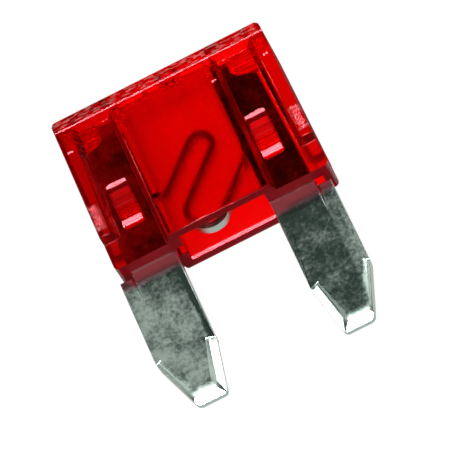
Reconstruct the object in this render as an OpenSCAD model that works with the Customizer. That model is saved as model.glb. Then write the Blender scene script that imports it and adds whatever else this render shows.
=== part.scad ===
// Small two-blade plug-in fuse, lying on its broad back face.
// X runs across the blades, Y runs from the blade tips to the head, Z is up.
// The origin is on the resting plane, under the housing's middle line and halfway along the fuse.

/* [Housing] */
// height of the moulding from its mouth to the top of the head
housing_h = 8.14; // [7.9:0.01:8.8]
// half width of the moulding at the head
head_half_w = 5.42; // [5.3:0.01:5.6]
// how much wider each side gets from the head to the mouth, by the mould draft
side_draft = 0.08; // [0.04:0.01:0.14]
// thickness over the head lip and the side ribs
lip_t = 3.8; // [3.6:0.02:4]
// height of the lip across the head
lip_h = 0.61; // [0.4:0.01:0.8]
// how far the middle panel lies below the lip, on each face
panel_drop = 0.08; // [0.02:0.01:0.2]
// half width of the thick middle panel at its face
panel_half_w = 2.6; // [2.5:0.01:2.7]
// how much wider the panel is at its foot, on each side
panel_flare = 0.22; // [0.1:0.01:0.3]
// thickness over the two thin columns that grip the blades
column_t = 2.22; // [2:0.02:2.4]
// width of the ribs at the head, on their faces
rib_w = 0.75; // [0.6:0.01:0.9]
// width the ribs would have at the mouth
rib_mouth_w = 0.58; // [0.4:0.01:0.7]
// how much wider the ribs are at their foot
rib_flare = 0.24; // [0.1:0.01:0.3]
// height above the mouth at which the ribs end
rib_end_y = 1.45; // [0.8:0.01:1.7]
// radius of the corners of the head
head_corner_r = 0.27; // [0.1:0.01:0.4]
// radius of the corners of the mouth
mouth_corner_r = 0.25; // [0.1:0.01:0.4]

/* [Cavity] */
// thickness of the front and back walls of the middle panel
panel_wall = 0.7; // [0.5:0.01:0.9]
// half width of the link chamber at the mouth
chamber_half_w = 2.2; // [2:0.01:2.35]
// half width of the link chamber at its ceiling
chamber_top_half_w = 2.06; // [1.9:0.01:2.2]
// chamfer along the inner edges of the chamber's mouth
mouth_chamfer = 0.14; // [0.05:0.01:0.25]
// thickness of the top wall over the link chamber
top_wall = 0.8; // [0.66:0.01:1]
// top wall left over the blade slots
slot_top_wall = 0.46; // [0.3:0.01:0.48]
// free gap between a blade face and the slot, on each face
slot_gap = 0.03; // [0.02:0.01:0.08]
// wall outside each blade slot, at the mouth
side_wall = 0.52; // [0.44:0.01:0.54]
// wall outside each blade slot, at its top end
side_wall_top = 0.66; // [0.6:0.01:0.7]

/* [Test openings] */
// width of each probe slot through the top wall
test_slot_w = 1.02; // [0.9:0.01:1.2]
// thickness of each probe slot
test_slot_t = 0.8; // [0.7:0.02:0.84]

/* [Stakes] */
// distance of each stake's middle from the line of the blade's outer edge
stake_inset = 1.82; // [1.77:0.01:1.87]
// height of the stakes' middle above the mouth
stake_y = 3.06; // [2.8:0.01:3.4]
// width of the staking mark pressed into the plastic
mark_w = 1; // [0.8:0.01:1.1]
// lower end of the staking mark, below the stakes' middle
mark_low = 1.21; // [1.1:0.01:1.3]
// upper end of the staking mark, above the stakes' middle
mark_high = 1.21; // [1.1:0.01:1.3]
// steepness of the two sloped ends of a staking mark
mark_slope = 22; // [18:1:26]
// length of the slope that rises onto the heaped plastic
heap_l = 0.28; // [0.2:0.01:0.36]
// length of the slope that leads down to the punch pit
scoop_l = 0.18; // [0.1:0.01:0.24]
// length of the punch pit
pit_l = 0.62; // [0.4:0.01:0.7]
// depth of the punch pit below the column face
pit_d = 0.45; // [0.25:0.01:0.5]
// depth of the heaped plastic beside the pit, below the column face
sink_d = 0.12; // [0.05:0.01:0.2]
// radius of the shallow ripples across the heaped plastic
ripple_r = 0.12; // [0.08:0.01:0.16]
// depth of those ripples
ripple_d = 0.025; // [0.01:0.005:0.04]

/* [Markings] */
// depth of the plain rating number cut into the head
number_d = 0.12; // [0.05:0.01:0.2]
// height of the rating number, across the thickness of the head
number_h = 1.9; // [1.2:0.05:2.4]
// stroke width of the rating number
number_stroke = 0.34; // [0.2:0.01:0.45]
// steepness of the fine marking notches on the ribs
notch_slope = 22; // [15:1:30]

/* [Element] */
// thickness of the zinc strip
strip_t = 0.8; // [0.76:0.01:0.82]
// thickness of the strip inside the housing
shank_t = 0.62; // [0.56:0.01:0.7]
// length over which a blade thins towards the mouth
ramp_l = 1.1; // [0.8:0.05:1.4]
// distance of the blades' outer edges inside the mouth's sides
blade_inset = 0.07; // [0.02:0.01:0.12]
// width of each exposed blade
blade_w = 3; // [2.9:0.01:3.1]
// length of the exposed blades below the mouth
blade_l = 7.76; // [7.2:0.01:8.2]
// how far the element sits off the housing's middle in its slots
element_shift = -0.2; // [-0.21:0.01:0]
// play of the shanks in their slots, on each side
shank_play = 0.23; // [0.22:0.01:0.3]
// drop from the mouth to the shoulder of each blade
shoulder_gap = 0.3; // [0.1:0.01:0.5]
// height above the mouth of the shanks' outer upper corners
shank_h = 6.42; // [6.2:0.01:6.6]
// rise of the sloping shoulder between that corner and the test tab
shank_slope = 0.32; // [0.2:0.01:0.5]
// width of the test tab at the top of each shank
tab_w = 0.78; // [0.6:0.01:0.86]
// distance of the test tab's middle from the line of the blade's inner edge
tab_inset = 0.57; // [0.51:0.01:0.61]
// height of the test tab's end above the mouth
tab_h = 7.62; // [7.4:0.01:7.64]
// gap between a stake and the hole it fills, all round
stake_gap = 0.02; // [0.01:0.01:0.05]
// width of the stake hole through each shank
hole_w = 1.08; // [0.8:0.01:1.16]
// length of the stake hole through each shank
hole_l = 2.3; // [1.6:0.01:2.4]

/* [Blade tips] */
// length of the tapered end of the blades
taper_l = 2.75; // [2:0.01:3.2]
// inset of each tip on its outer side
outer_inset = 0.98; // [0.5:0.01:1.1]
// inset of each tip on its inner side
inner_inset = 0.55; // [0.3:0.01:0.8]
// radius of the outer tip corners
outer_tip_r = 0.36; // [0.1:0.01:0.5]
// radius of the inner tip corners
inner_tip_r = 0.26; // [0.1:0.01:0.35]
// radius of the turn into the outer taper
outer_turn_r = 1.2; // [0.5:0.1:2]
// radius of the turn into the inner taper
inner_turn_r = 0.65; // [0.3:0.05:1]
// width of the coined bevel on the inner taper
bevel_w = 0.46; // [0.3:0.01:0.6]
// length of the coined bevel at the tip
bevel_tip = 0.64; // [0.4:0.01:0.8]
// depth of those two bevels on each face
bevel_d = 0.25; // [0.15:0.01:0.3]
// width of the shallow bevel on the outer taper
outer_bevel_w = 0.3; // [0.2:0.01:0.4]
// depth of that bevel
outer_bevel_d = 0.08; // [0.04:0.01:0.12]
// width of the rolled strip along a blade's outer edge
outer_strip_w = 0.27; // [0.15:0.01:0.4]
// width of the rolled strip along a blade's inner edge
inner_strip_w = 0.45; // [0.3:0.01:0.6]
// depth of the rolled strips at the edge
edge_d = 0.045; // [0.02:0.005:0.08]
// length of the scored line below each shoulder notch
score_l = 1.8; // [1.5:0.01:2.5]
// width of the scored line
score_w = 0.1; // [0.06:0.01:0.14]
// depth of the scored line
score_d = 0.028; // [0.015:0.001:0.04]

/* [Link] */
// width of the S-shaped link
link_w = 0.3; // [0.2:0.01:0.36]
// thickness of the link, skived thinner than the strip
link_t = 0.52; // [0.3:0.02:0.54]
// height above the mouth where the link leaves the left shank
link_y = 2.76; // [2.7:0.01:2.82]
// centre of the upper bend, across
upper_x = 0.67; // [0.62:0.01:0.7]
// centre of the upper bend, above the mouth
upper_y = 4.33; // [4.29:0.01:4.38]
// centre-line radius of the upper bend
upper_r = 0.6; // [0.56:0.01:0.64]
// centre of the lower bend, across
lower_x = -0.29; // [-0.33:0.01:-0.25]
// centre-line radius of the lower bend
lower_r = 0.93; // [0.89:0.01:0.98]
// lowest point of the link's centre line above the mouth
lower_y = 0.38; // [0.35:0.01:0.42]
// radius of the fillet where the link runs into the right shank
root_r = 1.1; // [0.8:0.05:1.4]

/* [Hidden] */
$fn = 64;
eps = 0.01;
over = 1;
// amount by which a rounding arc crosses its straight lines instead of only touching them
skim = 0.0002;
// longer than any half of the part
far = 9;
mid_z = lip_t / 2;
mouth_y = (blade_l - housing_h) / 2;
head_y = mouth_y + housing_h;
mouth_half_w = head_half_w + side_draft;
panel_t = lip_t - 2 * panel_drop;
chamber_t = panel_t - 2 * panel_wall;
recess_d = (lip_t - column_t) / 2;
recess_top = housing_h - lip_h;
panel_foot = panel_half_w + panel_flare;
rib_foot = mouth_half_w - rib_mouth_w - rib_flare;
rib_lean = atan((side_draft + rib_w - rib_mouth_w) / housing_h);
slot_t = shank_t + 2 * slot_gap;
slot_step = 0.2;
slot_mouth_half_w = mouth_half_w - side_wall;
slot_top_half_w = head_half_w - side_wall_top;
test_slot_y = housing_h - slot_top_wall - slot_step;
stake_r = 0.16;
ripple_pitch = 0.3;
ripple_count = 3;
// marking notches on the ribs, and ticks higher up
notch_inset = 0.3;
notch_w = 0.34;
notch_y = 1.82;
notch_pitch = 0.235;
notch_count = 6;
notch_l = 0.16;
tick_y = 6.27;
tick_l = 0.09;
tick_w = 0.24;
rib_tick_x = 5.09;
panel_tick_x = 2.4;
// gap between the figures of the rating number, and width of the nought
number_gap = 0.55;
zero_w = 1.15;
// element, measured from its own middle
blade_out = mouth_half_w - blade_inset;
blade_in = blade_out - blade_w;
tip_y = -blade_l;
taper_y = tip_y + taper_l;
outer_lean = atan(outer_inset / taper_l);
inner_lean = atan(inner_inset / taper_l);
stake_x = blade_out - stake_inset;
tab_x = blade_in + tab_inset;
tab_play = 0.29;
slot_in_x = tab_x - tab_w / 2 - tab_play;
shank_half_w = slot_mouth_half_w - shank_play;
shank_top_half_w = slot_top_half_w - shank_play;
shoulder_r = 0.28;
// meeting points of the link's straight runs, all at 45 degrees
run_1 = upper_y - upper_x + upper_r * sqrt(2);
run_2 = upper_y - upper_x - upper_r * sqrt(2);
lower_cy = lower_y + lower_r;
run_3 = lower_cy - lower_x - lower_r * sqrt(2);
left_x = lower_x - lower_r;
turn_r = (run_2 + left_x - lower_cy) / tan(22.5);
// small angle by which bends and straight runs overlap
lap = 1;

function on_circle(r, a) = [r * cos(a), r * sin(a)];

// outline in plan, extruded evenly to both sides of the middle plane
module slab(t) {
    translate([0, mouth_y, mid_z - t / 2])
        linear_extrude(height = t)
            children();
}

// side profile, with y from the mouth and z from the middle plane, extruded across from x
module across(x, w) {
    translate([x, mouth_y, mid_z])
        rotate([90, 0, 90])
            linear_extrude(height = w)
                children();
}

// end profile, with x and z from the column face, extruded along y from y to the recess's top
module along(y, top) {
    translate([0, top, 0])
        rotate([90, 0, 0])
            linear_extrude(height = top - y)
                children();
}

// the same thing on the other face
module on_back() {
    translate([0, 0, mid_z])
        mirror([0, 0, 1])
            translate([0, 0, -mid_z])
                children();
}

module both_faces() {
    children();
    on_back() children();
}

module both_sides() {
    children();
    mirror([1, 0, 0]) children();
}

// the corner at v, between edges leaving along angles a and b, cut round to r
module corner_waste(v, a, b, r) {
    half = abs(b - a) / 2;
    run = r / tan(half);
    bisector = (a + b) / 2;
    difference() {
        polygon([v + on_circle(run, a), v - on_circle(r, bisector), v + on_circle(run, b)]);
        translate(v + on_circle(r / sin(half) - skim, bisector))
            circle(r = r);
    }
}

module rounded(w, l, r) {
    square([w - 2 * r, l], center = true);
    square([w, l - 2 * r], center = true);
    for (i = [-1, 1], j = [-1, 1])
        translate([i * (w / 2 - r), j * (l / 2 - r)])
            circle(r = r);
}

// oval of width w and length l
module oval(w, l) {
    square([w, l - w], center = true);
    for (j = [-1, 1])
        translate([0, j * (l - w) / 2])
            circle(d = w);
}

// Housing

module outline() {
    lean = atan(side_draft / housing_h);
    difference() {
        polygon([
            [-mouth_half_w, 0], [mouth_half_w, 0], [head_half_w, housing_h], [-head_half_w, housing_h]
        ]);
        for (s = [0, 1])
            mirror([s, 0]) {
                corner_waste([head_half_w, housing_h], 180, 270 + lean, head_corner_r);
                corner_waste([mouth_half_w, 0], 90 + lean, 180, mouth_corner_r);
            }
    }
}

// hollow over one column, between the flank of the middle panel and the leaning wall of the rib
module recess() {
    top = recess_d + over;
    panel_lean = 2 * panel_flare / (panel_t - column_t);
    wall_lean = rib_flare / recess_d;
    translate([0, mouth_y, mid_z + column_t / 2]) {
        intersection() {
            along(-over, recess_top)
                polygon([[panel_foot, 0], [far, 0], [far, top], [panel_foot - top * panel_lean, top]]);
            translate([rib_foot, 0, 0])
                rotate([0, 0, rib_lean])
                    along(-2 * over, recess_top + over)
                        polygon([[-far, 0], [0, 0], [top * wall_lean, top], [-far, top]]);
        }
        translate([panel_foot, -over, 0])
            cube([far, over + rib_end_y, top]);
    }
}

module panel_cut() {
    translate([-panel_foot, mouth_y - over, mid_z + panel_t / 2])
        cube([2 * panel_foot, over + recess_top, over]);
}

module chamber_outline() {
    ceiling_y = housing_h - top_wall;
    polygon([
        [-chamber_half_w, -over], [chamber_half_w, -over], [chamber_half_w, 0],
        [chamber_top_half_w, ceiling_y], [-chamber_top_half_w, ceiling_y], [-chamber_half_w, 0]
    ]);
}

module chamber_chamfer() {
    z = chamber_t / 2;
    across(-chamber_half_w, 2 * chamber_half_w)
        polygon([[mouth_chamfer, z], [-over, z + mouth_chamfer + over], [-over, 0], [mouth_chamfer, 0]]);
}

// one blade slot, open at the mouth and into the chamber, with the stake left standing in it
module slot_outline(shift) {
    ceiling_y = housing_h - slot_top_wall;
    step_y = housing_h - top_wall - slot_step;
    difference() {
        polygon([
            [chamber_half_w / 2, -over], [slot_mouth_half_w, -over], [slot_mouth_half_w, 0],
            [slot_top_half_w, ceiling_y], [slot_in_x, ceiling_y], [slot_in_x, step_y],
            [chamber_half_w / 2, step_y]
        ]);
        translate([stake_x + shift, stake_y])
            rounded(hole_w - 2 * stake_gap, hole_l - 2 * stake_gap, stake_r);
    }
}

// points of a staking mark's side profile, from its low end to its high end
heap_low = [stake_y - mark_low, column_t / 2];
heap_crest = heap_low + heap_l * [1, tan(mark_slope)];
scoop_high = [stake_y + mark_high, column_t / 2];
scoop_edge = scoop_high - scoop_l * [1, tan(mark_slope)];
pit_low = [scoop_edge[0] - pit_l, column_t / 2 - sink_d];

// plastic pushed up by the staking punch
module heap() {
    polygon([heap_low, heap_crest, pit_low, pit_low - [0, pit_d], heap_low - [0, pit_d]]);
}

// what the punch presses in: a sunk floor with ripples, a deep pit and the scoop above it
module punch_waste() {
    floor_z = column_t / 2 - pit_d;
    polygon([
        heap_crest, pit_low, [pit_low[0], floor_z], [scoop_edge[0], floor_z],
        scoop_edge, scoop_high, scoop_high + [0, over], heap_crest + [0, over]
    ]);
    fall = (pit_low - heap_crest) / (pit_low[0] - heap_crest[0]);
    for (i = [1 : ripple_count])
        translate(heap_crest + i * ripple_pitch * fall + [0, ripple_r - ripple_d])
            circle(r = ripple_r);
}

module staking_marks() {
    for (s = [-1, 1])
        across(element_shift + s * stake_x - mark_w / 2, mark_w)
            children();
}

// notch that falls away from z at y + l towards y, in a side profile
module notch(y, z, l) {
    polygon([[y, z - l * tan(notch_slope)], [y + l, z], [y + l, z + over], [y, z + over]]);
}

// fine notches that stand for the raised markings on the ribs and the middle panel
module markings() {
    for (s = [-1, 1]) {
        across(s * (mouth_half_w - notch_inset) - notch_w / 2, notch_w)
            for (i = [0 : notch_count - 1])
                notch(notch_y + i * notch_pitch, lip_t / 2, notch_l);
        across(s * rib_tick_x - tick_w / 2, tick_w)
            notch(tick_y, lip_t / 2, tick_l);
    }
    across(panel_tick_x - tick_w / 2, tick_w)
        notch(tick_y, panel_t / 2, tick_l);
}

module rating_number() {
    one_x = -(number_stroke + number_gap + zero_w) / 2 + number_stroke / 2;
    zero_x = one_x + number_stroke / 2 + number_gap + zero_w / 2;
    translate([0, head_y + over, mid_z])
        rotate([90, 0, 0])
            linear_extrude(height = number_d + over) {
                translate([one_x, 0])
                    square([number_stroke, number_h], center = true);
                translate([zero_x, 0])
                    difference() {
                        oval(zero_w, number_h);
                        oval(zero_w - 2 * number_stroke, number_h - 2 * number_stroke);
                    }
            }
}

module housing_body() {
    difference() {
        slab(lip_t) outline();
        both_faces() {
            both_sides() recess();
            panel_cut();
        }
    }
    both_faces() staking_marks() heap();
}

module housing() {
    color([0.85, 0.02, 0.03, 0.55])
        difference() {
            housing_body();
            slab(chamber_t) chamber_outline();
            slab(slot_t) {
                slot_outline(element_shift);
                mirror([1, 0]) slot_outline(-element_shift);
            }
            slab(test_slot_t)
                for (s = [-1, 1])
                    translate([element_shift + s * tab_x - test_slot_w / 2, test_slot_y])
                        square([test_slot_w, housing_h - test_slot_y + over]);
            both_faces() {
                chamber_chamfer();
                staking_marks() punch_waste();
            }
            markings();
            rating_number();
        }
}

// Element

module blade_outline() {
    shoulder_y = shank_h + shank_slope;
    tab_out = tab_x + tab_w / 2;
    tab_in = tab_x - tab_w / 2;
    difference() {
        polygon([
            [blade_in, taper_y], [blade_in + inner_inset, tip_y], [blade_out - outer_inset, tip_y],
            [blade_out, taper_y], [blade_out, -shoulder_gap], [shank_half_w, -shoulder_gap],
            [shank_half_w, 0], [shank_top_half_w, shank_h],
            [shank_top_half_w - shoulder_r, shank_h + shoulder_r / 2],
            [tab_out + shoulder_r, shoulder_y], [tab_out, shoulder_y + shoulder_r], [tab_out, tab_h],
            [tab_in, tab_h], [tab_in, shoulder_y], [blade_in, shoulder_y]
        ]);
        corner_waste([blade_out - outer_inset, tip_y], 90 - outer_lean, 180, outer_tip_r);
        corner_waste([blade_in + inner_inset, tip_y], 0, 90 + inner_lean, inner_tip_r);
        corner_waste([blade_out, taper_y], 90, 270 - outer_lean, outer_turn_r);
        corner_waste([blade_in, taper_y], inner_lean - 90, 90, inner_turn_r);
        translate([stake_x, stake_y])
            rounded(hole_w, hole_l, stake_r);
    }
}

// waste above a plane that falls by d over w, toward the edge from p along angle a
module bevel_waste(p, a, len, w, d) {
    translate([p[0], mouth_y + p[1], mid_z + strip_t / 2 - d])
        rotate([0, 0, a])
            rotate([atan(d / w), 0, 0])
                translate([0, -over, 0])
                    cube([len, 3 * over, over]);
}

// coined bevels round the tip and rolled strips along both long edges
module face_bevels() {
    outer_len = norm([outer_inset, taper_l]) + outer_tip_r;
    inner_len = norm([inner_inset, taper_l]) + inner_tip_r;
    outer_dir = 90 - outer_lean;
    outer_start = [blade_out, taper_y] - on_circle(outer_len, outer_dir);
    bevel_waste(outer_start, outer_dir, outer_len, outer_bevel_w, outer_bevel_d);
    bevel_waste([blade_in, taper_y], 270 + inner_lean, inner_len, bevel_w, bevel_d);
    bevel_waste([blade_in - over, tip_y], 0, blade_w + 2 * over, bevel_tip, bevel_d);
    bevel_waste([blade_out, taper_y - over], 90, blade_l, outer_strip_w, edge_d);
    bevel_waste([blade_in, 0], 270, blade_l - taper_l + over, inner_strip_w, edge_d);
}

// what is rolled off a face towards the mouth and inside the housing
module ramp_waste() {
    across(0, blade_out + over)
        polygon([
            [-ramp_l, strip_t / 2], [0, shank_t / 2], [tab_h + over, shank_t / 2],
            [tab_h + over, strip_t], [-ramp_l, strip_t]
        ]);
}

// V-shaped line scored below the shoulder notch, following the ramp down to the mouth
module score() {
    fall = atan((strip_t - shank_t) / 2 / ramp_l);
    translate([shank_half_w, mouth_y - ramp_l, mid_z + strip_t / 2]) {
        score_run(ramp_l - score_l, 0);
        rotate([-fall, 0, 0])
            score_run(0, ramp_l);
    }
}

// stretch of that line between two places along y
module score_run(from, to) {
    translate([0, from, 0])
        rotate([90, 0, 180])
            linear_extrude(height = to - from)
                polygon([[-score_w, score_d], [0, -score_d], [score_w, score_d]]);
}

module blade() {
    difference() {
        slab(strip_t) blade_outline();
        both_faces() {
            face_bevels();
            ramp_waste();
        }
        score();
    }
}

// straight run of the link from p along angle a
module run(p, a, len) {
    translate(p)
        rotate(a)
            translate([0, -link_w / 2])
                square([len, link_w]);
}

// bend of the link round c between angles a and b, less than a half turn
module bend(c, r, a, b) {
    reach = (r + link_w) / cos((b - a) / 4);
    sector = [for (i = [0 : 4]) on_circle(reach, a - lap + i * (b - a + 2 * lap) / 4)];
    translate(c)
        intersection() {
            difference() {
                circle(r = r + link_w / 2);
                circle(r = r - link_w / 2);
            }
            polygon(concat([[0, 0]], sector));
        }
}

module link_outline() {
    knee = [link_y - run_1, link_y];
    up = [upper_x, upper_y];
    low = [lower_x, lower_cy];
    turn = [left_x + turn_r, lower_cy];
    from_up = up + on_circle(upper_r, 135);
    to_up = up + on_circle(upper_r, -45);
    turn_end = turn + on_circle(turn_r, 135);
    low_end = low + on_circle(lower_r, -45);
    run([-blade_in - eps, link_y], 0, knee[0] + blade_in + eps);
    translate(knee)
        circle(d = link_w);
    run(knee, 45, norm(from_up - knee));
    bend(up, upper_r, -45, 135);
    run(turn_end, 45, norm(to_up - turn_end));
    bend(turn, turn_r, 135, 180);
    bend(low, lower_r, 180, 315);
    run(low_end, 45, (blade_in + eps - low_end[0]) * sqrt(2));
    root_fillet();
}

// web that fills the sharp angle between the last run and the right shank
module root_fillet() {
    edge_y = blade_in + run_3 + link_w / sqrt(2);
    centre = [blade_in - root_r, edge_y + root_r * (sqrt(2) - 1)];
    foot = centre + on_circle(root_r, -45);
    difference() {
        polygon([
            [blade_in + eps, edge_y - link_w], foot - [0, link_w / 2], foot, centre,
            centre + [root_r + eps, 0]
        ]);
        translate(centre)
            circle(r = root_r);
    }
}

module fuse_element() {
    color([0.62, 0.66, 0.62])
        translate([element_shift, 0, 0]) {
            both_sides() blade();
            slab(link_t) link_outline();
        }
}

housing();
fuse_element();
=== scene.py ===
import bmesh
import bpy
import math
from mathutils import Matrix, Vector


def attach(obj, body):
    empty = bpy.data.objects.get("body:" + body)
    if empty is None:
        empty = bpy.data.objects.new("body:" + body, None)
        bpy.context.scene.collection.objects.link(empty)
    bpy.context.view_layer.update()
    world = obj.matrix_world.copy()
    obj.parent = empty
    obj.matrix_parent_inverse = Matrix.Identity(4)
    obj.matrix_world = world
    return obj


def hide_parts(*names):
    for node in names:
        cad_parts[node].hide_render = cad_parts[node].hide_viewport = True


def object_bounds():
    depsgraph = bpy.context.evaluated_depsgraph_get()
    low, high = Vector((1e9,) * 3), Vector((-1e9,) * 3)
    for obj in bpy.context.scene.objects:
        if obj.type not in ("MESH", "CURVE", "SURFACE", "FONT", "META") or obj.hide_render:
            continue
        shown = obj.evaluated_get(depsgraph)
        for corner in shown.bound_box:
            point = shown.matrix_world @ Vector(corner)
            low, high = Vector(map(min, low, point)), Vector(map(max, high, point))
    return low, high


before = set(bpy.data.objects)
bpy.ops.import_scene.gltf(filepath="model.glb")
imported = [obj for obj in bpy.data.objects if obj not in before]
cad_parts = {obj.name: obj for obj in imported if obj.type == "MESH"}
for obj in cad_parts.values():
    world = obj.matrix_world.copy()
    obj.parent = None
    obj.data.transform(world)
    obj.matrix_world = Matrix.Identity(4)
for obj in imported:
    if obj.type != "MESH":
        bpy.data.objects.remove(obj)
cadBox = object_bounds()
mm = 0.001
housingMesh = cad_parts["housing"].data
mouthY = min(vert.co.y for vert in housingMesh.vertices) / mm
midZ = (cadBox[0][2] + cadBox[1][2]) / 2 / mm
print("frame loaded:", ", ".join(sorted(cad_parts)))


def linear(hexText, alpha=1.0):
    # sRGB hex to the linear colour that sockets take
    parts = [int(hexText[i:i + 2], 16) / 255 for i in (1, 3, 5)]
    return tuple(c / 12.92 if c <= 0.04045 else ((c + 0.055) / 1.055) ** 2.4 for c in parts) + (alpha,)


def addNode(tree, kind, settings=None, **links):
    # one node: settings go to its properties or, by name or number, to its inputs;
    # links name the inputs they feed, i0 for the first, and take a node's first output or a given one
    node = tree.nodes.new("ShaderNode" + kind)
    for key, value in (settings or {}).items():
        if hasattr(node, key):
            setattr(node, key, value)
        else:
            node.inputs[int(key) if key.isdigit() else key].default_value = value
    for key, source in links.items():
        target = node.inputs[int(key[1:]) if key[1:].isdigit() else key.replace("_", " ")]
        tree.links.new(source.outputs[0] if hasattr(source, "outputs") else source, target)
    return node


def newMaterial(name):
    material = bpy.data.materials.new(name)
    material.use_nodes = True
    material.node_tree.nodes.clear()
    return material, material.node_tree


def inRange(tree, value, low, high, soft=0.02):
    # 1 where value, in mm, lies between low and high, else 0
    start = {"From Min": (low - soft) * mm, "From Max": (low + soft) * mm}
    end = {"From Min": (high + soft) * mm, "From Max": (high - soft) * mm}
    rise = addNode(tree, "MapRange", start, Value=value)
    fall = addNode(tree, "MapRange", end, Value=value)
    return addNode(tree, "Math", {"operation": "MULTIPLY"}, i0=rise, i1=fall)


# both pieces' meshes
meshLook = {
    "flatTurn": 1.5,            # an edge that turns less than this, in degrees, crosses a flat face
    "largeFace": 0.6,           # a face larger than this, in mm2, is a flat one
    "segments": 2,              # facets across each rounding
}


def cleanCopy(node, name, widthOf, crispOf):
    # the CAD mesh with its flat faces joined up and its edges rounded, as a new piece
    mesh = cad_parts[node].data.copy()
    mesh.name = name
    bm = bmesh.new()
    bm.from_mesh(mesh)
    bmesh.ops.remove_doubles(bm, verts=bm.verts, dist=0.0004 * mm)
    bmesh.ops.dissolve_limit(bm, angle_limit=math.radians(1), verts=bm.verts, edges=bm.edges)
    box = [[pick(vert.co[axis] for vert in bm.verts) for pick in (min, max)] for axis in range(3)]
    rounding = bm.edges.layers.float.new("rounding")
    curved = set()
    for edge in bm.edges:
        turn = math.degrees(edge.calc_face_angle(0)) if len(edge.link_faces) == 2 else 0
        edge[rounding] = widthOf(edge, turn)
        edge.smooth = edge[rounding] > 0 or turn < crispOf(edge)
        if edge[rounding] == 0 and edge.smooth and turn > meshLook["flatTurn"]:
            curved.update(edge.link_faces)
    for face in bm.faces:
        face.smooth = face in curved and face.calc_area() < meshLook["largeFace"] * mm * mm
    for width in sorted({edge[rounding] for edge in bm.edges} - {0}, reverse=True):
        edges = [edge for edge in bm.edges if edge[rounding] == width]
        made = bmesh.ops.bevel(
            bm, geom=edges, offset=width * mm, segments=meshLook["segments"], profile=0.5,
            affect="EDGES", clamp_overlap=False,
        )
        for face in made["faces"]:
            face.smooth = True
    for vert in bm.verts:   # no rounding leaves the piece's own box
        vert.co = [min(max(value, low), high) for value, (low, high) in zip(vert.co, box)]
    bm.to_mesh(mesh)
    bm.free()
    piece = bpy.data.objects.new(name, mesh)
    bpy.context.scene.collection.objects.link(piece)
    weighted = piece.modifiers.new("facing", "WEIGHTED_NORMAL")
    weighted.keep_sharp = True
    weighted.weight = 100
    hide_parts(node)
    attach(piece, "root")
    return piece


# housing: rounded as the mould leaves it
housingLook = {
    "edge": 0.07,               # rounding of the outer edges, mm
    "smallEdge": 0.028,         # rounding of low steps, pockets and openings, mm
    "roundFrom": 25,            # edges that turn less than this, in degrees, stay sharp
    "shortest": 0.3,            # so do shorter ones than this, mm,
    "notchLength": 1,           # than this in the marking notches,
    "markWidth": 0.5,           # and than this in the pressed marks
    "crisp": 50,                # unrounded edges that turn more than this, in degrees, show as edges
    "crispMark": 12,            # the same in the marks and beside the notches
    "through": "#fe0000",       # colour left in light that has crossed the plastic
    "density": 10000.0,         # how fast that colour builds up, per metre
    "sheen": (1.0, 0.16, 0.2, 1.0),   # weak reflections stay red, only strong ones turn pink and white
    "roughness": (0.05, 0.1),   # from the least worn places to the most worn
    "inside": 0.36,             # roughness of the chamber's walls, which blur the link
    "scuffed": 0.45,            # roughness in the staking pits
    "mattEnd": 0.5,             # roughness of the end faces at the mouth
    "mattFoot": 0.22,           # roughness of the ribs' feet
    "ripple": (900.0, 0.0015),  # mould flow: ripples about 1 mm apart, 0.0015 mm high
    "wear": 5400.0,             # patches of wear about 0.2 mm across
    "streak": (21600.0, 0.025), # rubs about 0.05 mm wide, drawn coarser by the grains below, 0.025 mm deep
    "lipGrain": (0.13, 0.75),   # on the lip they are long and thin: along it, across it
    "markGrain": (0.35, 0.35),  # on the rib marks they are short
    "paleGlintLevels": (0.53, 0.6),   # the pattern's values where the painted glints in the rubs start and where they are full
    "wornLip": (0.07, 0.03),    # width and depth of the worn slope along the lip's edge, mm
    "edgeOn": (0.78, 0.9),      # faces seen between this and this nearly edge on start to take a painted red glow
    "grazed": 0.96,             # the share of painted glow on such faces,
    "endGlow": 0.65,            # the share of painted dark red shade on the end faces,
    "paleGlintShare": 0.42,             # and the share of painted pale glints in the rubs
    "matt": "#640008",          # colour of the painted shade on the end faces,
    "edgeGlow": "#ff0c10",      # of the painted glow on faces seen edge on,
    "paleGlintColour": "#ffc4c0",           # and of the painted glints in the rubs
}

# zones of the housing, both halves alike, in mm: off the middle line, up from the mouth, off the middle plane
whole = (-99, 99)
housingZones = {
    "mark": ((2.85, 4.4), (1.8, 4.32), (0.6, 99)),
    "notch": ((4.7, 99), (1.7, 6.6), (1.8, 99)),
    "ribFace": ((2.2, 99), (1.7, 6.6), (1.7, 99)),
    "lipEdge": (whole, (7.45, 7.61), (1.7, 99)),
    "rim": ((-99, 5.1), (-99, 0.2), (-99, 1.3)),
    "rimCorner": (whole, (-99, 0.2), (-99, 0.5)),
    "core": (whole, whole, (-99, 0.5)),
    "chamber": ((-99, 2.3), whole, (-99, 1.2)),
    "number": ((-99, 3.8), (8.0, 99), (-99, 1.2)),
    "low": (whole, whole, (-99, 1.2)),
}
# zones of its finishes, in mm: across the housing, if not over all of it, and up from the mouth
housingFinish = {
    "chamber": ((-2.3, 2.3), (0.12, 7.4)),
    "pit": ((3.1, 4.12), (2.18, 4.06)),
    "ribMark": ((4.9, 5.5), (1.8, 3.2)),
    "ribFoot": ((4.35, 5.7), (-0.2, 1.7)),
    "lip": (None, (7.62, 8.1)),
    "endFace": (None, (-0.2, 0.02)),
}
chamberDepth = 1.2         # off the middle plane, mm
pitDepth = (0.5, 1.075)    # the same, from and to
pitShift = -0.2            # the stakes stand this far off the housing's middle, mm
lipEdge = 7.53             # up from the mouth, mm


def zonesOf(edge):
    # names of the zones that hold the middle of an edge, and its length in mm
    ends = [vert.co / mm for vert in edge.verts]
    mid = (ends[0] + ends[1]) / 2
    spot = abs(mid.x), mid.y - mouthY, abs(mid.z - midZ)
    names = {
        name for name, zone in housingZones.items()
        if all(low < value < high for value, (low, high) in zip(spot, zone))
    }
    return names, (ends[0] - ends[1]).length


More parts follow.
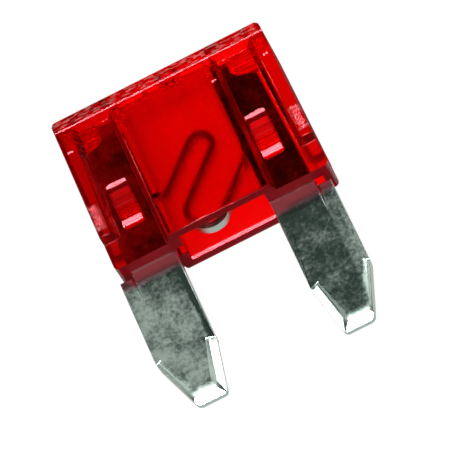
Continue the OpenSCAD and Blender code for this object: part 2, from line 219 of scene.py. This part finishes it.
def housingWidth(edge, turn):
    zones, length = zonesOf(edge)
    if turn < housingLook["roundFrom"] or length < housingLook["shortest"] or "lipEdge" in zones:
        return 0
    if "notch" in zones and length < housingLook["notchLength"]:
        return 0
    if zones & {"rim", "rimCorner"}:
        return housingLook["smallEdge"]
    if zones & {"core", "chamber", "number"}:
        return 0
    if "mark" in zones:
        return housingLook["smallEdge"] if length > housingLook["markWidth"] else 0
    return housingLook["smallEdge"] if "low" in zones else housingLook["edge"]


def housingCrisp(edge):
    # the pressed marks and the marking notches keep their flat facets
    return housingLook["crispMark"] if zonesOf(edge)[0] & {"mark", "ribFace"} else housingLook["crisp"]


def polycarbonate():
    # mouldedPolycarbonate: clear saturated red, glossy with faint flow ripples outside, frosted inside,
    # matt at the mouth, with painted dark red shade on its end faces, a painted glow edge on, and painted
    # pale glints in the rubs of the lip and the rib marks
    material, tree = newMaterial("mouldedPolycarbonate")
    look = housingLook
    place = addNode(tree, "TexCoord").outputs["Object"]
    axes = addNode(tree, "SeparateXYZ", None, Vector=place)
    x, y, z = (axes.outputs[name] for name in "XYZ")
    sideways = addNode(tree, "Math", {"operation": "ABSOLUTE"}, i0=x)
    fromStake = addNode(tree, "Math", {"operation": "SUBTRACT", "1": pitShift * mm}, i0=x)
    fromStake = addNode(tree, "Math", {"operation": "ABSOLUTE"}, i0=fromStake)
    height = addNode(tree, "Math", {"operation": "SUBTRACT", "1": midZ * mm}, i0=z)
    height = addNode(tree, "Math", {"operation": "ABSOLUTE"}, i0=height)

    def within(zone, across=None, soft=0.02):
        wide, (low, high) = housingFinish[zone]
        inside = inRange(tree, y, mouthY + low, mouthY + high, soft)
        if wide:
            side = inRange(tree, across, *wide)
            inside = addNode(tree, "Math", {"operation": "MULTIPLY"}, i0=side, i1=inside)
        return inside

    deep = inRange(tree, z, midZ - chamberDepth, midZ + chamberDepth)
    chamber = addNode(tree, "Math", {"operation": "MULTIPLY"}, i0=within("chamber", x), i1=deep)
    pitLevel = inRange(tree, height, *pitDepth, 0.01)
    pit = addNode(tree, "Math", {"operation": "MULTIPLY"}, i0=within("pit", fromStake), i1=pitLevel)
    ribMark = within("ribMark", sideways)
    ribFoot = within("ribFoot", sideways)
    endFace = within("endFace", soft=0.01)
    streaky = addNode(tree, "Math", {"operation": "MAXIMUM"}, i0=within("lip"), i1=ribMark)

    # roughness: the highest that any zone asks for
    wear = addNode(tree, "TexNoise", {"Scale": look["wear"], "Detail": 4.0}, Vector=place)
    smooth, worn = look["roughness"]
    rough = addNode(tree, "MapRange", {"To Min": smooth, "To Max": worn}, Value=wear)
    mattZones = ((chamber, "inside"), (pit, "scuffed"), (endFace, "mattEnd"), (ribFoot, "mattFoot"))
    for zone, roughness in mattZones:
        matt = addNode(tree, "MapRange", {"To Max": look[roughness]}, Value=zone)
        rough = addNode(tree, "Math", {"operation": "MAXIMUM"}, i0=rough, i1=matt)

    # relief: flow ripples, rubs, and the worn slope of the lip
    scale, depth = look["ripple"]
    ripple = addNode(tree, "TexNoise", {"Scale": scale, "Detail": 3.0, "Roughness": 0.45}, Vector=place)
    bump = addNode(tree, "Bump", {"Strength": 1.0, "Distance": depth * mm}, Height=ripple)
    grain = [
        addNode(tree, "MapRange", {"To Min": onLip, "To Max": onMark}, Value=ribMark)
        for onLip, onMark in zip(look["lipGrain"], look["markGrain"])
    ]
    grain = addNode(tree, "CombineXYZ", None, X=grain[0], Y=grain[1], Z=grain[1])
    stretched = addNode(tree, "Mapping", None, Vector=place, Scale=grain)
    scale, depth = look["streak"]
    streak = addNode(tree, "TexNoise", {"Scale": scale, "Detail": 3.0}, Vector=stretched)
    bump = addNode(tree, "Bump", {"Distance": depth * mm}, Strength=streaky, Height=streak, Normal=bump)
    width, depth = look["wornLip"]
    edgeY = (mouthY + lipEdge) * mm
    slope = addNode(tree, "MapRange", {"From Min": edgeY, "From Max": edgeY + width * mm}, Value=y)
    bump = addNode(tree, "Bump", {"Strength": 1.0, "Distance": depth * mm}, Height=slope, Normal=bump)

    # painted light and shade: dark red painted shade on the end faces, a painted brighter red glow edge on,
    # painted pale glints in the rubs
    low, high = look["paleGlintLevels"]
    cover = {"From Min": low, "From Max": high, "To Max": look["paleGlintShare"]}
    paintedGlintMask = addNode(tree, "MapRange", cover, Value=streak)
    paintedGlintMask = addNode(tree, "Math", {"operation": "MULTIPLY"}, i0=paintedGlintMask, i1=streaky)
    turned = addNode(tree, "LayerWeight", {"Blend": 0.5})
    low, high = look["edgeOn"]
    turning = {"From Min": low, "From Max": high, "To Max": look["grazed"]}
    grazed = addNode(tree, "MapRange", turning, Value=turned.outputs["Facing"])
    glow = addNode(tree, "MapRange", {"To Max": look["endGlow"]}, Value=endFace)
    paintedShare = addNode(tree, "Math", {"operation": "MAXIMUM"}, i0=grazed, i1=glow)
    paintedShare = addNode(tree, "Math", {"operation": "MAXIMUM"}, i0=paintedShare, i1=paintedGlintMask)
    reds = {"data_type": "RGBA", "6": linear(look["matt"]), "7": linear(look["edgeGlow"])}
    red = addNode(tree, "Mix", reds, Factor=grazed).outputs[2]
    tone = addNode(tree, "Mix", {"data_type": "RGBA", "7": linear(look["paleGlintColour"])}, Factor=paintedGlintMask, i6=red)
    paintedLayer = addNode(tree, "BsdfDiffuse", None, Color=tone.outputs[2])

    clear = addNode(tree, "BsdfPrincipled", {
        "Base Color": linear("#ffffff"), "IOR": 1.585,
        "Transmission Weight": 1.0, "Specular Tint": look["sheen"],
    }, Roughness=rough, Normal=bump)
    surface = addNode(tree, "MixShader", None, Fac=paintedShare, i1=clear, i2=paintedLayer)
    volume = addNode(tree, "VolumeAbsorption", {"Color": linear(look["through"]), "Density": look["density"]})
    addNode(tree, "OutputMaterial", None, Surface=surface, Volume=volume)
    return material


housing = cleanCopy("housing", "redHousing", housingWidth, housingCrisp)
housing.data.materials.clear()
housing.data.materials.append(polycarbonate())
print("housing made")

# element: stamped zinc alloy, mottled and finely scratched
zincLook = {
    "edge": 0.05,               # rounding of the sheared edges, mm
    "coined": 0.15,             # rounding where the coined bevels meet the faces, mm
    "roundFrom": (12, 25),      # coined edges and others that turn less than this, in degrees, stay sharp
    "shortest": 0.2,            # so do shorter ones, mm
    "bevelTurn": 50,            # edges of a coined bevel turn less than this, degrees
    "crisp": (50, 20, 3),       # round corners, tips, others: unrounded edges that turn more show as edges
    "coinedFrom": 4,            # the coined part of the blades starts this far below the mouth, mm
    "dark": "#5a7066",
    "pale": "#bccdc3",
    "levels": (0.66, 1.37),     # where the mottling is fully dark and fully pale
    "mottle": 5200.0,           # mottles about 0.2 mm across, on patches six times as wide
    "side": (0.14, -0.2),       # painted light and shade: how much paler the left and the right side of the fuse are
    "strips": ((-2.9, -1.5, -0.45), (4.5, 6.0, 0.22)),   # painted strips of shade and light: from, to in mm, how much paler
    "upper": (1.8, -0.18),      # the blades' first stretch, darker as painted shade beside the housing: how far below the mouth, mm, how much paler
    "mouthBand": (0.78, 0.45),  # the band beside the mouth, paler as a painted reflection of the housing's rim: the same two values
    "paintedRimReflection": "#e4b0ba",       # the red plastic's light on that band, a painted reflection of the housing's rim
    "roughness": (0.36, 0.5),   # of the dark and the pale metal
    "nearMouth": 0.26,          # roughness of the band, which mirrors the housing's rim
    "burnished": 0.3,           # roughness of the coined bevels
    "scratch": 12000.0,         # scratches about 0.08 mm apart, along the blades
    "relief": 0.004,            # depth of scratches and mottles, mm
}


def zincWidth(edge, turn):
    high = max(vert.co.y for vert in edge.verts) / mm
    coined = high < mouthY - zincLook["coinedFrom"]
    if edge.calc_length() < zincLook["shortest"] * mm or turn < zincLook["roundFrom"][0 if coined else 1]:
        return 0
    return zincLook["coined"] if turn < zincLook["bevelTurn"] and coined else zincLook["edge"]


def zincCrisp(edge):
    # only the round corners, whose edges stand upright, and the coined tips are smooth
    corner, tip, other = zincLook["crisp"]
    if abs(edge.verts[0].co.z - edge.verts[1].co.z) > 0.9 * edge.calc_length():
        return corner
    return tip if edge.verts[0].co.y < (mouthY - zincLook["coinedFrom"] - 1) * mm else other


def zincAlloySheet():
    # zincAlloySheet: dull grey-green metal with cloudy mottling and fine rubbed scratches
    material, tree = newMaterial("zincAlloySheet")
    look = zincLook
    coordinates = addNode(tree, "TexCoord")
    place = coordinates.outputs["Object"]
    axes = addNode(tree, "SeparateXYZ", None, Vector=place)
    x, y = axes.outputs["X"], axes.outputs["Y"]
    mottle = {"Scale": look["mottle"], "Detail": 6.0, "Roughness": 0.62, "Distortion": 0.4}
    cloud = addNode(tree, "TexNoise", mottle, Vector=place)
    broad = addNode(tree, "TexNoise", {"Scale": look["mottle"] / 6, "Detail": 3.0}, Vector=place)

    # what makes the metal paler or darker, added up: random patches, and painted light and shade across the
    # sides, in strips, by the mouth and on tilted faces
    left, right = look["side"]
    ends = {"From Min": -5 * mm, "From Max": 5 * mm, "To Min": left, "To Max": right}
    parts = [broad, addNode(tree, "MapRange", ends, Value=x)]
    for low, high, change in look["strips"]:
        strip = inRange(tree, x, low, high, 0.08)
        parts.append(addNode(tree, "MapRange", {"To Max": change}, Value=strip))
    length, change = look["mouthBand"]
    nearMouth = inRange(tree, y, mouthY - length, mouthY, 0.15)
    parts.append(addNode(tree, "MapRange", {"To Max": change}, Value=nearMouth))
    length, change = look["upper"]
    upper = inRange(tree, y, mouthY - length, mouthY, 0.7)
    parts.append(addNode(tree, "MapRange", {"To Max": change}, Value=upper))
    # tilted faces, the coined bevels and the edges, turn paler: partly burnished metal, partly a painted
    # highlight
    normal = addNode(tree, "SeparateXYZ", None, Vector=coordinates.outputs["Normal"])
    coined = addNode(tree, "MapRange", {"From Min": 0.99, "From Max": 0.925}, Value=normal.outputs["Z"])
    parts.append(coined)
    clouds = cloud
    for part in parts:
        clouds = addNode(tree, "Math", {"operation": "ADD"}, i0=clouds, i1=part)
    darkest, palest = look["levels"]
    levels = {"interpolation_type": "SMOOTHSTEP", "From Min": darkest, "From Max": palest}
    mix = addNode(tree, "MapRange", levels, Value=clouds)
    tones = {"data_type": "RGBA", "6": linear(look["dark"]), "7": linear(look["pale"])}
    bare = addNode(tree, "Mix", tones, Factor=mix).outputs[2]
    rimReflectionTint = {"data_type": "RGBA", "7": linear(look["paintedRimReflection"])}
    colour = addNode(tree, "Mix", rimReflectionTint, Factor=nearMouth, i6=bare).outputs[2]

    low, high = look["roughness"]
    rough = addNode(tree, "MapRange", {"To Min": low, "To Max": high}, Value=mix)
    for zone, roughness in ((coined, "burnished"), (nearMouth, "nearMouth")):
        rough = addNode(tree, "Mix", {"data_type": "FLOAT", "3": look[roughness]}, Factor=zone, i2=rough)
    along = addNode(tree, "Mapping", {"Scale": (1.0, 0.12, 1.0)}, Vector=place)
    scratch = addNode(tree, "TexNoise", {"Scale": look["scratch"], "Detail": 4.0}, Vector=along)
    height = addNode(tree, "Math", {"operation": "ADD"}, i0=scratch, i1=cloud)
    bump = addNode(tree, "Bump", {"Strength": 1.0, "Distance": look["relief"] * mm}, Height=height)
    metal = {"Base_Color": colour, "Roughness": rough, "Normal": bump}
    metal = addNode(tree, "BsdfPrincipled", {"Metallic": 1.0}, **metal)
    addNode(tree, "OutputMaterial", None, Surface=metal)
    return material


element = cleanCopy("fuse_element", "zincElement", zincWidth, zincCrisp)
element.data.materials.clear()
element.data.materials.append(zincAlloySheet())
print("element made")

# floor: a plain pale sheet that stays white to the eye and keeps the fuse's shadow
floorLook = {
    "size": 0.6,                # m
    "drop": 0.02,               # mm under the fuse
    "Is Camera Ray": 0.94,      # its white that doesn't depend on the light, as the camera sees it,
    "Is Transmission Ray": 1.0, # as the plastic shows it
    "Is Glossy Ray": 0.6,       # and as the metal mirrors it
    "sheet": "#4a4a4a",         # what it adds where light falls, so that the shadow shows
    "shade": (-5.6, -0.5, 0.4), # painted shadow: less of it comes through the fuse's left side: from, to in mm, how much
}


def makeFloor():
    half = floorLook["size"] / 2
    mesh = bpy.data.meshes.new("paleSheet")
    corners = [(-half, -half, 0), (half, -half, 0), (half, half, 0), (-half, half, 0)]
    mesh.from_pydata(corners, [], [(0, 1, 2, 3)])
    floor = bpy.data.objects.new("paleSheet", mesh)
    floor.location.z = -floorLook["drop"] * mm
    bpy.context.scene.collection.objects.link(floor)
    material, tree = newMaterial("paleSheet")
    ray = addNode(tree, "LightPath")
    place = addNode(tree, "TexCoord")
    axes = addNode(tree, "SeparateXYZ", None, Vector=place.outputs["Object"])
    left, right, dim = floorLook["shade"]
    shade = {"From Min": left * mm, "From Max": right * mm, "To Min": dim}
    # painted shadow of the fuse on the glow seen through it
    lit = addNode(tree, "MapRange", shade, Value=axes.outputs["X"])
    seen, through, mirrored = (
        addNode(tree, "Math", {"operation": "MULTIPLY", "1": floorLook[kind]}, i0=ray.outputs[kind])
        for kind in ("Is Camera Ray", "Is Transmission Ray", "Is Glossy Ray")
    )
    through = addNode(tree, "Math", {"operation": "MULTIPLY"}, i0=through, i1=lit)
    glow = addNode(tree, "Math", {"operation": "MAXIMUM"}, i0=seen, i1=through)
    glow = addNode(tree, "Math", {"operation": "MAXIMUM"}, i0=glow, i1=mirrored)
    white = addNode(tree, "Emission", {"Color": linear("#ffffff")}, Strength=glow)
    matt = addNode(tree, "BsdfDiffuse", {"Color": linear(floorLook["sheet"])})
    joined = addNode(tree, "AddShader", None, i0=white, i1=matt)
    addNode(tree, "OutputMaterial", None, Surface=joined)
    mesh.materials.append(material)


makeFloor()

# studio: a dim pale room with soft boxes, white wherever the camera looks past the fuse
studioLook = {
    "room": 0.03,
    "boxes": [                  # direction, outer and inner half angle in degrees, strength
        ((-0.02, -0.25, 0.97), 10, 5, 42.0),
        ((0.69, 0.35, 0.61), 12, 6, 8.0),
        ((-0.78, 0.36, 0.49), 11, 6, 6.0),
        ((-0.05, -0.87, 0.5), 12, 6, 36.0),
    ],
}


def makeStudio():
    world = bpy.data.worlds.new("studio")
    bpy.context.scene.world = world
    world.use_nodes = True
    tree = world.node_tree
    tree.nodes.clear()
    place = addNode(tree, "TexCoord")
    total = addNode(tree, "Value")
    total.outputs[0].default_value = studioLook["room"]
    for direction, outer, inner, power in studioLook["boxes"]:
        aim = {"operation": "DOT_PRODUCT", "1": Vector(direction).normalized()}
        facing = addNode(tree, "VectorMath", aim, i0=place.outputs["Generated"]).outputs["Value"]
        low, high = (math.cos(math.radians(angle)) for angle in (outer, inner))
        fade = {"interpolation_type": "SMOOTHSTEP", "From Min": low, "From Max": high, "To Max": power}
        box = addNode(tree, "MapRange", fade, Value=facing)
        total = addNode(tree, "Math", {"operation": "ADD"}, i0=total, i1=box)
    lit = addNode(tree, "Background", {"Color": linear("#ffffff")}, Strength=total)
    white = addNode(tree, "Background", {"Color": linear("#ffffff"), "Strength": 1.0})
    ray = addNode(tree, "LightPath")
    split = addNode(tree, "MixShader", None, Fac=ray.outputs["Is Camera Ray"], i1=lit, i2=white)
    addNode(tree, "OutputWorld", None, Surface=split)


makeStudio()
bpy.context.scene.view_settings.view_transform = "Standard"
print("studio made")

# camera: the photo's own view, from the blade end and a little from the right, rolled
cameraFit = {
    "pitch": 29.87, "yaw": 2.8, "roll": -25.08,         # degrees
    "distance": 204.7,                                  # mm from the middle of the mouth
    "lens": 353.5, "sensor": 36,                        # mm
    "offset": (2.23, 1.385), "pixelsPerMm": 21.684,     # from the picture's middle to the mouth's, pixels
}


def makeCamera():
    pitch, yaw, roll = (math.radians(cameraFit[k]) for k in ("pitch", "yaw", "roll"))
    aside = math.cos(yaw)
    back = Vector((math.sin(yaw), -math.sin(pitch) * aside, math.cos(pitch) * aside)).normalized()
    right = Vector((0, 1, 0)).cross(back).normalized()
    up = back.cross(right)
    c, s = math.cos(roll), math.sin(roll)
    right, up = c * right + s * up, -s * right + c * up
    dx, dy = (v / cameraFit["pixelsPerMm"] for v in cameraFit["offset"])
    centre = Vector((0, mouthY, midZ)) + cameraFit["distance"] * back - dx * right + dy * up
    data = bpy.data.cameras.new("photoView")
    data.lens, data.sensor_width = cameraFit["lens"], cameraFit["sensor"]
    data.clip_start, data.clip_end = 0.01, 10
    camera = bpy.data.objects.new("photoView", data)
    bpy.context.scene.collection.objects.link(camera)
    turn = Matrix((right, up, back)).transposed().to_4x4()
    camera.matrix_world = Matrix.Translation(centre * mm) @ turn
    bpy.context.scene.camera = camera


makeCamera()
print("camera made")
